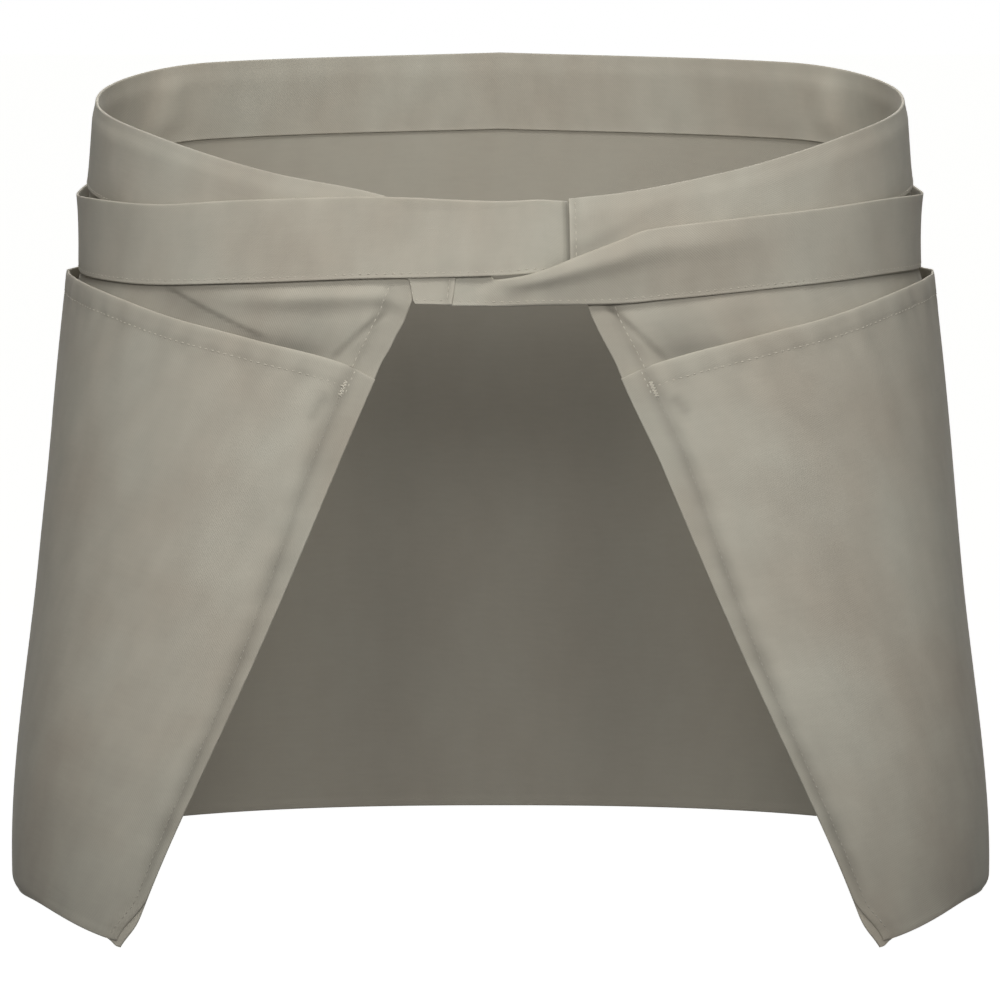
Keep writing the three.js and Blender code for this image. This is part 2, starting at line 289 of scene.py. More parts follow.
def curve_through(rows, along, column):
    """A smooth curve through a table's rows that never overshoots them."""
    x = np.array([getattr(row, along) for row in rows], float)
    y = np.array([getattr(row, column) for row in rows], float)
    rise = np.diff(y) / np.diff(x)
    before = np.concatenate([rise[:1], rise])
    after = np.concatenate([rise, rise[-1:]])
    same_way = before * after > 0
    slope = np.where(same_way, 2 * before * after / np.where(same_way, before + after, 1), 0)

    def at(value):
        value = np.clip(value, x[0], x[-1])
        i = np.clip(np.searchsorted(x, value, side="right") - 1, 0, len(x) - 2)
        step = x[i + 1] - x[i]
        t = (value - x[i]) / step
        hermite = y[i] * (1 + 2 * t) * (1 - t) ** 2 + y[i + 1] * t * t * (3 - 2 * t)
        return hermite + step * t * (1 - t) * (slope[i] * (1 - t) - slope[i + 1] * t)

    return at


def curves(rows):
    """A curve for each column of a table, along its first one."""
    along, *columns = rows[0]._fields
    return [curve_through(rows, along, column) for column in columns]


half_width, half_depth, edge_turn, front_power, back_power = curves(SECTIONS)
rim_sag_left, rim_sag_right = curves(RIM_SAG)
(hem_sag,) = curves(HEM_SAG)
(pocket_top,) = curves(POCKET_TOP)
(band_outside,) = curves(BAND_OUTSIDE)
(side_hem,) = curves(SIDE_HEMS)
trim_left, trim_right = curves(EDGE_TRIM)


def smoothstep(value, low, high):
    t = np.clip((value - low) / (high - low), 0, 1)
    return t * t * (3 - 2 * t)


def bell(value, span):
    """1 at 0, falling away smoothly on both sides."""
    return np.exp(-((value / span) ** 2))


def wrapped(turn):
    """Degrees round, brought to -180 to 180."""
    return (np.asarray(turn, float) + 180) % 360 - 180


def sags(turn):
    """How far the rim and the hem hang below their front."""
    round_turn = wrapped(turn)
    away = np.abs(round_turn)
    rim = np.where(round_turn < 0, rim_sag_left(away), rim_sag_right(away))
    return rim, hem_sag(away)


def middle(turn, down):
    """A point of the panel's middle surface."""
    angle = np.radians(turn)
    across, ahead = np.sin(angle), np.cos(angle)
    power = np.where(ahead > 0, front_power(down), back_power(down))
    wide = np.abs(across / half_width(down)) ** power
    deep = np.abs(ahead / half_depth(down)) ** power
    reach = (wide + deep) ** (-1 / power)
    rim, hem = sags(turn)
    share = down / PANEL_DROP
    height = RIM_HEIGHT - down - rim * (1 - share) - hem * share
    return np.stack(np.broadcast_arrays(reach * across, reach * ahead, height), -1)


def down_at(turn, height):
    """The way down to a height, at some degrees round."""
    rim, hem = sags(turn)
    return (RIM_HEIGHT - rim - height) / (1 - (rim - hem) / PANEL_DROP)


def side_turn(across, down):
    """Degrees round at a share of the way across, -1 and 1 being the side edges."""
    trim = np.where(across < 0, trim_left(down), trim_right(down))
    return across * (edge_turn(down) + trim * across**TRIM_POWER)


def outward(turn, down):
    """The panel's outward direction."""
    step_turn, step_down = 0.5, 1
    round_way = middle(turn + step_turn, down) - middle(turn - step_turn, down)
    fall = middle(turn, down + step_down) - middle(turn, down - step_down)
    normal = np.cross(round_way, fall)
    return normal / np.linalg.norm(normal, axis=-1, keepdims=True)


def layered(turn, down, out):
    """A point that lies out from the panel's middle surface."""
    return middle(turn, down) + outward(turn, down) * np.asarray(out)[..., None]


def fold_depth(folds, turn, down):
    total = 0.0
    for fold in folds:
        fall = down - fold.down - fold.lean * (turn - fold.turn)
        total = total + fold.depth * bell(turn - fold.turn, fold.span_turn) * bell(fall, fold.span_down)
    return total


def crease_depth(creases, turn, down):
    total = 0.0
    for crease in creases:
        run = np.array([(crease.to_turn - crease.turn) * TURN_MM, crease.to_down - crease.down])
        length = np.linalg.norm(run)
        over, fall = (turn - crease.turn) * TURN_MM, down - crease.down
        share = (over * run[0] + fall * run[1]) / length**2
        beside = (fall * np.abs(run[0]) - over * run[1] * np.sign(run[0])) / length
        start, end = (smoothstep(share - at, -CREASE_TAPER, CREASE_TAPER) for at in (0, 1))
        ends = start * (1 - end)
        lifted = smoothstep(beside, 0, crease.width) * np.exp(-np.maximum(beside, 0) / CREASE_FADE)
        total = total + ends * (crease.step * lifted - crease.groove * bell(beside, crease.width))
    return total


def panel_relief(turn, down):
    return fold_depth(PANEL_FOLDS, turn, down) + crease_depth(PANEL_CREASES, turn, down)


def ripple(along, across, length, seed):
    """Slow uneven waves, about -1 to 1; their odd ratios keep them from repeating."""
    drift = 1.7 * np.sin(along / (2.9 * length) + seed) + 0.9 * np.sin(across / (1.7 * length) + 2 * seed)
    first = np.sin(2 * math.pi * along / length + drift)
    second = np.sin(2 * math.pi * along / (1.63 * length) - 1.4 * drift + 1.1 * seed)
    return 0.6 * first + 0.4 * second


def wave_height(wave, along, across):
    return wave.height * ripple(along, wave.drift * across, wave.length, wave.seed)


# Seams: a stitched line draws the cloth in, and puckers it on both sides. shade is the painted shade along
# the seam's groove and puckers, how much darker the cloth is there, and uneven how much that varies, over the
# length of a patch.
SEAM_COLUMNS = "groove width pucker reach spacing seed shade uneven patch"
Seam = namedtuple("Seam", SEAM_COLUMNS, defaults=(0, 0, 1))
PANEL_SIDE = Seam(0.5, 1.8, 0.35, 6, 12, 1.0, 0.1, 0.3, 30)
POCKET_SIDE = Seam(0.5, 2.2, 0.3, 7, 17, 2.0, 0.2, 0.3, 42)
POCKET_TOP_SEAM = Seam(0.1, 2.2, 0.5, 9, 13, 3.0, 0.06, 1.1, 15)
BAND_LOWER = Seam(0.08, 1.4, 0.1, 5, 11, 4.0)
BAND_ENDS = Seam(0.3, 1.4, 0.12, 4, 9, 6.0, 0.08, 0.3, 22)
TIE_LOWER = Seam(0.08, 1.4, 0.12, 5, 9, 7.0)
TAIL_END = Seam(0.25, 1.6, 0.2, 6, 9, 8.0)
SIDE_HEM_SHADE = 0.1  # painted shade: the side hems are a little darker than the cloth beside them
HEM_BULGE = 0.2
HEM_RISE = 2  # how far in from its edge a hem is full
HEM_FALL = (-1.5, 0.5)  # where it ends, from its stitching
EDGE_CURL = 1.1  # the side edges turn in towards the wearer
EDGE_CURL_WIDTH = 6
EDGE_CURL_HIGH = 0.4  # share of it that they have high up
EDGE_CURL_DOWN = (120, 300)  # where it grows to the whole


def seam_relief(seam, across, along):
    puckers = seam.pucker * ripple(along, across, seam.spacing, seam.seed)
    return puckers * bell(across, seam.reach) - seam.groove * bell(across, seam.width)


def seam_shade(seam, across, along):
    """Painted shade: the cloth is darker along a seam's groove and puckers, unevenly."""
    uneven = 1 + seam.uneven * ripple(along, across, seam.patch, seam.seed)
    return -seam.shade * uneven * bell(across, seam.reach / 2)


def hem_bulge(from_edge, width):
    """The turned-in layers of a hem fill it out between its edge and its stitching."""
    rise = smoothstep(from_edge, 0, HEM_RISE)
    return HEM_BULGE * rise * (1 - smoothstep(from_edge - width, *HEM_FALL))


def edge_curl(from_edge, down):
    """The side edges turn in, more towards the hem."""
    near = np.clip(1 - from_edge / EDGE_CURL_WIDTH, 0, 1)
    grown = EDGE_CURL_HIGH + (1 - EDGE_CURL_HIGH) * smoothstep(down, *EDGE_CURL_DOWN)
    return -EDGE_CURL * grown * near**2


# Meshes
EDGE_WEAR_AND_HIGHLIGHT = 0.15  # edges are paler, partly from wear and partly a painted highlight where their rounded fold catches the light
EDGE_WEAR_AND_HIGHLIGHT_REACH = 1.1
RIM_MARGIN = 0.02  # no relief on the very rim, which both faces share
Span = namedtuple("Span", "length step")
RIM_STEPS = [Span(0.1, 0.1), Span(0.2, 0.2), Span(0.7, 0.35)]


def graded(spans):
    """Places along a line, from 0, whose steps change from span to span."""
    places = [0.0]
    for span in spans:
        count = max(1, round(span.length / span.step))
        places += [places[-1] + span.length * (i + 1) / count for i in range(count)]
    return np.array(places)


def graded_to(spans, length):
    """Graded places, stretched to a whole length."""
    places = graded(spans)
    return places * length / places[-1]


def mirrored_span(spans, half_length):
    """Places from -half_length to half_length, graded from both ends."""
    from_edge = graded(spans)
    right = half_length - from_edge[from_edge <= half_length][::-1]
    left = -right[::-1]
    return np.concatenate([left[left < 0], right[right > 0]])


def half_thick(from_edge, thick):
    """Half of a sheet's thickness, which is less near its rounded edge."""
    t = np.clip(from_edge / (0.5 * thick), 0, 1)
    return 0.5 * thick * np.sqrt(1 - (1 - t) ** 2)


Shape = namedtuple("Shape", "points faces slots cloth_map fade")


def new_object(name, data):
    thing = bpy.data.objects.new(name, data)
    bpy.context.scene.collection.objects.link(thing)
    return thing


def new_piece(name, shapes, materials):
    """One mesh of several shapes, each with its cloth's own coordinates and its painted light, painted shade
    and edge wear.
    """
    points, faces, first = [], [], 0
    for shape in shapes:
        points.append(shape.points)
        faces += [[first + k for k in face] for face in shape.faces]
        first += len(shape.points)
    mesh = bpy.data.meshes.new(name)
    mesh.from_pydata((np.concatenate(points) * MM).tolist(), [], faces)
    for material in materials:
        mesh.materials.append(material)
    slots = np.concatenate([shape.slots for shape in shapes])
    mesh.polygons.foreach_set("material_index", slots.astype(np.int32))
    corner = np.empty(len(mesh.loops), np.int32)
    mesh.loops.foreach_get("vertex_index", corner)
    places = np.concatenate([shape.cloth_map for shape in shapes])[corner] * MM
    mesh.uv_layers.new(name="cloth").uv.foreach_set("vector", places.astype(np.float32).ravel())
    fade = np.concatenate([shape.fade for shape in shapes])
    mesh.attributes.new("fade", "FLOAT", "POINT").data.foreach_set("value", fade.astype(np.float32))
    mesh.shade_smooth()
    return new_object(name, mesh)


def grid_faces(index):
    return np.stack([index[:-1, :-1], index[1:, :-1], index[1:, 1:], index[:-1, 1:]], -1).reshape(-1, 4)


def two_faces(surface, turn, place, out, edge, thick, relief, turnings=0.0):
    """The face and the lining of a sheet; its relief and its turnings leave the rim free."""
    half = half_thick(edge, thick)
    ready = edge > RIM_MARGIN
    face = surface(turn, place, out + half + relief * ready)
    return face, surface(turn, place, out - half - turnings * ready)


def sheet_shape(face, lining, cloth_map, from_edge, outside=0.0, inside=0.0):
    """A thin closed sheet from its two faces, which share their rim, and the painted light, painted shade and
    edge wear on each face.
    """
    rows, columns = face.shape[:2]
    front = np.arange(rows * columns).reshape(rows, columns)
    back = front.copy()
    back[1:-1, 1:-1] = front.size + np.arange((rows - 2) * (columns - 2)).reshape(rows - 2, columns - 2)
    within = (slice(1, -1), slice(1, -1))
    points = np.concatenate([face.reshape(-1, 3), lining[within].reshape(-1, 3)])
    places = np.concatenate([cloth_map.reshape(-1, 2), cloth_map[within].reshape(-1, 2)])
    # Painted highlight and wear: each face is paler towards its edges
    edge_wear_and_highlight = EDGE_WEAR_AND_HIGHLIGHT * np.exp(-from_edge / EDGE_WEAR_AND_HIGHLIGHT_REACH)
    fade = np.concatenate([(edge_wear_and_highlight + outside).ravel(), (edge_wear_and_highlight + inside)[within].ravel()])
    outer, inner = grid_faces(front), grid_faces(back)[:, ::-1]
    slots = np.repeat([0, 1], [len(outer), len(inner)])
    faces = np.concatenate([outer, inner]).tolist()
    return Shape(points, faces, slots, places, fade)


# Materials
WALE = 1.15 * MM  # from one diagonal rib of the twill to the next, across the cloth
THREAD = 0.42 * MM
RIB_DEPTH = 0.16 * MM
SLUB_DEPTH = 0.12 * MM
STONE = (0.43, 0.40, 0.33)
LINING_SHADE_SHARE = 0.94  # painted shade: the wrong side of the cloth, which faces the shaded inside, is a little darker
THREAD_SHARE = 1.3  # the sewing thread is paler than the cloth
SHADED_THREAD_SHARE = 0.82  # painted shade: the thread is darker where it lies drawn down into a seam's groove
WARM_PATCH = (0.95, 0.925, 0.915)  # the cloth is patchy, between a warmer and a cooler grey
COOL_PATCH = (1.04, 1.06, 1.07)
PATCH_CONTRAST = 3
LINING_CONTRAST = 1.2
BLOTCHINESS = 0.24
LINING_BLOTCHINESS = 0.08
SLUB_TONE = 0.06
# painted shade: the cloth is darker in the grooves between its ribs and threads
WEAVE_PAINTED_SHADE = 0.055
RIB_WANDER = 0.9  # how far the ribs stray, as a share of a rib
THREAD_SHOW = 0.12  # how far single threads stand out on a rib
TWILL_BUMP = 0.3
TWILL_FINISH = {
    "Roughness": 0.92,
    "Specular IOR Level": 0.2,
    "Sheen Weight": 0.08,
    "Sheen Roughness": 0.45,
    "Sheen Tint": (0.9, 0.88, 0.82, 1),
}
Noise = namedtuple("Noise", "scale stretch detail")
WANDER = Noise(90, (1, 1, 1), 2)
SLUBS = Noise(420, (0.2, 1, 1), 2)
PATCHES = Noise(18, (1, 0.7, 1), 3)
BLOTCHES = Noise(70, (1, 0.5, 1), 3)
PLY_LENGTH = 0.7 * MM
PLY_WIDTH = 0.5 * MM
PLY_DEPTH = 0.05 * MM
PLY_BUMP = 0.5
PLY_SHADES = (0.88, 1.06)  # painted shade between the plies of a thread, and painted highlight on them
THREAD_FINISH = {"Roughness": 0.7, "Sheen Weight": 0.2}


def add_node(tree, kind, inputs, output=0, **settings):
    """Adds a node, sets its inputs or links them to other nodes, and gives one of its outputs."""
    node = tree.nodes.new("ShaderNode" + kind)
    for name, value in settings.items():
        setattr(node, name, value)
    set_inputs(tree, node, inputs)
    return node.outputs[output]


def set_inputs(tree, node, inputs):
    for key, value in inputs.items():
        if isinstance(value, bpy.types.NodeSocket):
            tree.links.new(value, node.inputs[key])
        else:
            node.inputs[key].default_value = value


def math_node(tree, operation, *values):
    return add_node(tree, "Math", dict(enumerate(values)), operation=operation)


def mix_node(tree, factor, first, second, blend="MIX"):
    inputs = {"Factor": factor, "A": first, "B": second}
    return add_node(tree, "Mix", inputs, "Result", data_type="RGBA", blend_type=blend)


def bump_node(tree, strength, depth, height):
    return add_node(tree, "Bump", {"Strength": strength, "Distance": depth, "Height": height})


def noise_node(tree, place, noise):
    place = add_node(tree, "Mapping", {"Vector": place, "Scale": noise.stretch})
    return add_node(tree, "TexNoise", {"Vector": place, "Scale": noise.scale, "Detail": noise.detail}, "Fac")


def cloth_places(tree):
    """The cloth's own coordinates in metres: whole, along it and down it."""
    place = add_node(tree, "UVMap", {}, uv_map="cloth")
    along, down = (add_node(tree, "SeparateXYZ", {0: place}, axis) for axis in "XY")
    return place, along, down


def shaded(colour, share):
    """A colour scaled as a whole, or by a share for each of its parts."""
    return tuple(np.multiply(colour, share))


def new_material(name):
    """A material, its nodes and its shader."""
    material = bpy.data.materials.new(name)
    material.use_nodes = True
    return material, material.node_tree, material.node_tree.nodes["Principled BSDF"]


def twill(name, colour, contrast, blotchiness):
    """Cotton twill: diagonal ribs of short threads with painted shade between them, slubs, faint patches, and
    each mesh's painted light and shade and its paler edges, worn and with a painted highlight.
    """
    material, tree, shader = new_material(name)
    place, along, down = cloth_places(tree)

    wander = noise_node(tree, place, WANDER)
    across_ribs = math_node(tree, "MULTIPLY", math_node(tree, "ADD", along, down), 1 / WALE)
    diagonal = math_node(tree, "MULTIPLY_ADD", wander, RIB_WANDER, across_ribs)
    rib = math_node(tree, "ABSOLUTE", math_node(tree, "SINE", math_node(tree, "MULTIPLY", diagonal, math.pi)))
    threads = math_node(tree, "SINE", math_node(tree, "MULTIPLY", down, 2 * math.pi / THREAD))
    weave = math_node(tree, "MULTIPLY_ADD", threads, THREAD_SHOW, rib)
    slub = noise_node(tree, place, SLUBS)

    blotches = noise_node(tree, place, BLOTCHES)
    level = 1 - (blotchiness + SLUB_TONE) / 2
    tone = math_node(tree, "MULTIPLY_ADD", blotches, blotchiness, level)
    tone = math_node(tree, "MULTIPLY_ADD", slub, SLUB_TONE, tone)
    # Painted shade in the grooves of the weave
    woven = math_node(tree, "MULTIPLY_ADD", weave, WEAVE_PAINTED_SHADE, 1 - 2 / math.pi * WEAVE_PAINTED_SHADE)
    tone = math_node(tree, "MULTIPLY", tone, woven)
    # Painted light and shade, and edge wear, read from each point of the mesh
    fade = add_node(tree, "Attribute", {}, "Fac", attribute_name="fade")
    tone = math_node(tree, "MULTIPLY_ADD", tone, fade, tone)

    patches = noise_node(tree, place, PATCHES)
    part = math_node(tree, "MULTIPLY_ADD", patches, contrast, (1 - contrast) / 2)
    warm, cool = ((*shaded(colour, patch), 1) for patch in (WARM_PATCH, COOL_PATCH))
    shade = mix_node(tree, 1, mix_node(tree, part, warm, cool), tone, "MULTIPLY")
    height = math_node(tree, "MULTIPLY_ADD", slub, SLUB_DEPTH / RIB_DEPTH, weave)
    normal = bump_node(tree, TWILL_BUMP, RIB_DEPTH, height)
    set_inputs(tree, shader, {**TWILL_FINISH, "Base Color": shade, "Normal": normal})
    return material


def thread_material(name, colour):
    """Sewing thread: a twist of fine plies, with painted shade between them and a painted highlight on them.
    """
    material, tree, shader = new_material(name)
    _, along, around = cloth_places(tree)
    plies_around = math_node(tree, "MULTIPLY", around, 1 / PLY_WIDTH)
    ply = math_node(tree, "MULTIPLY_ADD", along, 1 / PLY_LENGTH, plies_around)
    twist = math_node(tree, "SINE", math_node(tree, "MULTIPLY", ply, 2 * math.pi))
    between, on = ((*shaded(colour, share), 1) for share in PLY_SHADES)
    shade = mix_node(tree, math_node(tree, "MULTIPLY_ADD", twist, 0.5, 0.5), between, on)
    normal = bump_node(tree, PLY_BUMP, PLY_DEPTH, twist)
    set_inputs(tree, shader, {**THREAD_FINISH, "Base Color": shade, "Normal": normal})
    return material


LINING = shaded(STONE, LINING_SHADE_SHARE)
RIGHT_SIDE = twill("twill_right_side", STONE, PATCH_CONTRAST, BLOTCHINESS)
# Painted shade: the wrong side is darker, as it faces the shaded inside
WRONG_SIDE_SHADED = twill("twill_wrong_side_shaded", LINING, LINING_CONTRAST, LINING_BLOTCHINESS)
THREADS = thread_material("sewing_thread", shaded(STONE, THREAD_SHARE))
SHADED_THREADS = thread_material("shaded_thread", shaded(STONE, SHADED_THREAD_SHARE))


# The panel and the pocket, at a share across (-1 to 1) and a way down
ACROSS_STEPS = [*RIM_STEPS, Span(17, 1.1), Span(95, 1.4), Span(135, 3), Span(245, 5)]
ACROSS = mirrored_span(ACROSS_STEPS, HALF_GIRTH) / HALF_GIRTH
PANEL_STEPS = [*RIM_STEPS, Span(41, 4), Span(56, 1.1), Span(256, 6), Span(14, 1.8), *RIM_STEPS[::-1]]
PANEL_LENGTH = PANEL_DROP - PANEL_TOP
HEM_START = (0, 6)  # below the band, where the side hems begin
HEM_COVERED = (-4, 6)  # from the pocket's top edge, where it covers them
HEM_BLUR = 1  # how softly the painted shade of a side hem ends
LINING_BULGE = 1.5  # a side hem stands out more on the inside
INSIDE_PAINTED_SHADE = 0.36  # painted shade: the inside is darker below the ties
INSIDE_DOWN = (78, 116)
INSIDE_SIDES = 0.95  # and less so towards the sides
INSIDE_TURN = (15, 45)
CORNER_START = 347  # the lower corners draw in below this, the pocket's more than the panel's
CORNER_SHARE = 0.95
PANEL_CORNER_TURN = 1.5
POCKET_CORNER_TURN = 1.9
PANEL_CORNER_POWER = 4
CORNER_DROP = 3
CORNER_DROP_POWER = 3


def pocket_top_across(across):
    return pocket_top(np.abs(across) * edge_turn(POCKET_TOP[-1].down))


def from_side_edge(turn, down):
    """How far in from the nearer side edge each point of a grid lies along the cloth."""
    points = middle(turn, down)
    steps = np.linalg.norm(np.diff(points, axis=0), axis=-1)
    along = np.concatenate([np.zeros((1, points.shape[1])), np.cumsum(steps, axis=0)])
    return np.minimum(along, along[-1] - along)


def lower_corner(across, down):
    """0 over the cloth, rising to 1 at its two lower corners."""
    return smoothstep(np.abs(across), CORNER_SHARE, 1) * smoothstep(down, CORNER_START, PANEL_DROP)


def side_shade(seam, from_edge, down):
    """The painted shade along a side hem."""
    hem = side_hem(down)
    within = 1 - smoothstep(from_edge - hem, -HEM_BLUR, HEM_BLUR)
    return seam_shade(seam, from_edge - hem, down) - SIDE_HEM_SHADE * within


def skirt_panel():
    downs = PANEL_TOP + graded_to(PANEL_STEPS, PANEL_LENGTH)
    across, down = np.meshgrid(ACROSS, downs, indexing="ij")
    corner = lower_corner(across, down)
    turn = side_turn(across, down) - np.sign(across) * PANEL_CORNER_TURN * corner**PANEL_CORNER_POWER
    from_edge = from_side_edge(turn, down)
    edge = np.minimum(from_edge, np.minimum(down - downs[0], downs[-1] - down))
    hemmed = smoothstep(down - band_outside(turn), *HEM_START)
    shown = hemmed * (1 - smoothstep(down - pocket_top_across(across), *HEM_COVERED))
    hem = side_hem(down)
    bulge = hem_bulge(from_edge, hem)
    relief = shown * (seam_relief(PANEL_SIDE, from_edge - hem, down) + bulge)
    turnings = LINING_BULGE * hemmed * bulge + hem_bulge(PANEL_DROP - down, LOWER_HEM)
    folds = panel_relief(turn, down) + hemmed * edge_curl(from_edge, down)
    face, lining = two_faces(layered, turn, down, folds, edge, CLOTH, relief, turnings)
    drop = np.array([0, 0, -CORNER_DROP]) * corner[..., None] ** CORNER_DROP_POWER
    cloth_map = np.stack([across * HALF_GIRTH, down], -1)
    # Painted shade: the inside is darker below the ties, less towards the sides
    towards_front = 1 - INSIDE_SIDES * smoothstep(np.abs(turn), *INSIDE_TURN)
    inside = -INSIDE_PAINTED_SHADE * towards_front * smoothstep(down, *INSIDE_DOWN)
    # Painted shade in hollows, at the pocket's mouth and along the side hems
    outside = fold_depth(PANEL_PAINTED_SHADE, turn, down) + shown * side_shade(PANEL_SIDE, from_edge, down)
    # Painted shade in the creases
    outside = outside + CREASE_SHADE * np.minimum(0, crease_depth(PANEL_CREASES, turn, down))
    shape = sheet_shape(face + drop, lining + drop, cloth_map, edge, outside, inside)
    return new_piece("skirt_panel_cloth", [shape], [RIGHT_SIDE, WRONG_SIDE_SHADED])


POCKET_LENGTH = PANEL_DROP - POCKET_TOP[0].down
POCKET_STEPS = [*RIM_STEPS, Span(15, 1.2), Span(261, 3.2), Span(14, 1.8), *RIM_STEPS[::-1]]
FRONT_SHARE = 0.5  # the pocket hem is flatter across the front
FRONT_FLATNESS = 0.6
CRINKLE_FADE = 60  # how far below the top edge the crinkles die away
CRINKLE_TURNS = ((60, 90), (118, 140))  # degrees round where they begin and end
TOP_HEM_END = 2  # how softly the top hem ends at the side hems
CORNER_SHADE_END = (-10, 8)  # where the side hems' painted shade ends, from the start of the lower corners
POCKET_LOW_SHADE = 0.15  # painted shade: the pocket is darker towards the bottom
POCKET_LOW = (110, 280)


def pocket_surface(across, from_top):
    """Turn, way down and distance out of the pocket's middle, from a share across and mm below its edge."""
    top = pocket_top_across(across)
    down = top + from_top * (PANEL_DROP - top) / POCKET_LENGTH
    turn = (1 + POCKET_EDGE / HALF_GIRTH) * side_turn(across, down)
    turn = turn - np.sign(across) * POCKET_CORNER_TURN * lower_corner(across, down)
    free = smoothstep((1 - np.abs(across)) * edge_turn(down), 0, POCKET_SEW_TURN)
    mouth = POCKET_MOUTH * np.exp((top - down) / POCKET_MOUTH_FADE)
    begun, ended = (smoothstep(np.abs(turn), *turns) for turns in CRINKLE_TURNS)
    crinkled = begun * (1 - ended) * np.exp((top - down) / CRINKLE_FADE)
    along = across * HALF_GIRTH
    wave = wave_height(POCKET_WAVE, along, down) + crinkled * wave_height(POCKET_CRINKLE, along, down)
    soft = free * (mouth + wave + fold_depth(POCKET_FOLDS, turn, down))
    out = CLOTH + SEWN_GAP + soft + crease_depth(POCKET_CREASES, turn, down)
    return turn, down, out


def pocket_top_relief(across, from_top):
    flatter = 1 - FRONT_FLATNESS * (1 - smoothstep(np.abs(across), 0, FRONT_SHARE))
    return flatter * seam_relief(POCKET_TOP_SEAM, from_top - POCKET_HEM, across * HALF_GIRTH)


def pocket_panel():
    tops = graded_to(POCKET_STEPS, POCKET_LENGTH)
    across, from_top = np.meshgrid(ACROSS, tops, indexing="ij")
    turn, down, out = pocket_surface(across, from_top)
    from_edge = from_side_edge(turn, down)
    edge = np.minimum(from_edge, np.minimum(from_top, tops[-1] - from_top))
    hem = side_hem(down)
    sides = seam_relief(POCKET_SIDE, from_edge - hem, down) + hem_bulge(from_edge, hem)
    top_hem = pocket_top_relief(across, from_top) + hem_bulge(from_top, POCKET_HEM)
    within = smoothstep(from_edge - hem, -TOP_HEM_END, TOP_HEM_END)
    relief = sides + within * top_hem + hem_bulge(tops[-1] - from_top, LOWER_HEM)
    out = out + edge_curl(from_edge, down)
    face, lining = two_faces(layered, turn, down, out, edge, CLOTH, relief)
    cloth_map = np.stack([across * HALF_GIRTH, down], -1)
    # Painted shade along the top hem's puckers and along the side hems
    top_shade = within * seam_shade(POCKET_TOP_SEAM, from_top - POCKET_HEM, across * HALF_GIRTH)
    above_corner = 1 - smoothstep(down - CORNER_START, *CORNER_SHADE_END)
    outside = above_corner * side_shade(POCKET_SIDE, from_edge, down) + top_shade
    # Painted shade, darker towards the bottom
    outside = outside - POCKET_LOW_SHADE * smoothstep(from_top, *POCKET_LOW)
    # Painted shade in the pocket's creases, stronger
    outside = outside + POCKET_CREASE_SHADE * crease_depth(POCKET_CREASES, turn, down)
    shape = sheet_shape(face, lining, cloth_map, edge, outside)
    return new_piece("pocket_panel_cloth", [shape], [RIGHT_SIDE, WRONG_SIDE_SHADED])


# The waistband, folded over the panel's top edge
BAND_SLOT = CLOTH / 2 + SEWN_GAP
BAND_MIDDLE = BAND_SLOT + CLOTH / 2
INNER_LEG = BAND_INSIDE - BAND_SLOT
OUTER_LEG = BAND_OUTSIDE[0].leg - BAND_SLOT
BAND_FOLD = math.pi * BAND_MIDDLE
BAND_STITCH = 2.2  # the stitching above the band's lower edge
BAND_END_STITCH = 3
RIM_PINCH = 0.6  # the band is pressed thinner towards its fold
RIM_PINCH_DOWN = 9
BAND_END_LEAN = 1.2  # degrees that the foot of the left end lies further round
BAND_LEAN_START = 168
BAND_FREE_EDGE = (0, 12)  # from its lower edges and from its fold, where the band waves freely
BAND_FREE_FOLD = (2, 14)
BAND_EDGE_STEPS = [*RIM_STEPS, Span(4, 0.7)]
BAND_LEG_STEP = 2.2
BAND_FOLD_STEPS = 10
BAND_ALONG_STEPS = [*RIM_STEPS, Span(30, 0.9), Span(460, 2.6)]


def band_surface(turn, place, out):
    """A point on the band: place runs up its inner leg, over its fold and down its outer leg."""
    angle = math.pi * np.clip((place - INNER_LEG) / BAND_FOLD, 0, 1)
    inner = place < INNER_LEG
    outer_share = (band_outside(turn) - BAND_SLOT) / OUTER_LEG
    outer_fall = np.maximum(0, place - INNER_LEG - BAND_FOLD) * outer_share
    lean = BAND_END_LEAN * smoothstep(-turn, BAND_LEAN_START, -BAND_LEFT_END)
    turn = turn + lean * (outer_fall / OUTER_LEG) ** 2
    below_fold = np.where(inner, INNER_LEG - place, outer_fall)
    pressed = out * (1 - RIM_PINCH * (1 - smoothstep(below_fold, 0, RIM_PINCH_DOWN)))
    down = BAND_SLOT + below_fold - pressed * np.sin(angle)
    pushed = np.where(inner, 0, np.maximum(0, fold_depth(PANEL_FOLDS, turn, down)))
    return layered(turn, down, pushed - pressed * np.cos(angle))


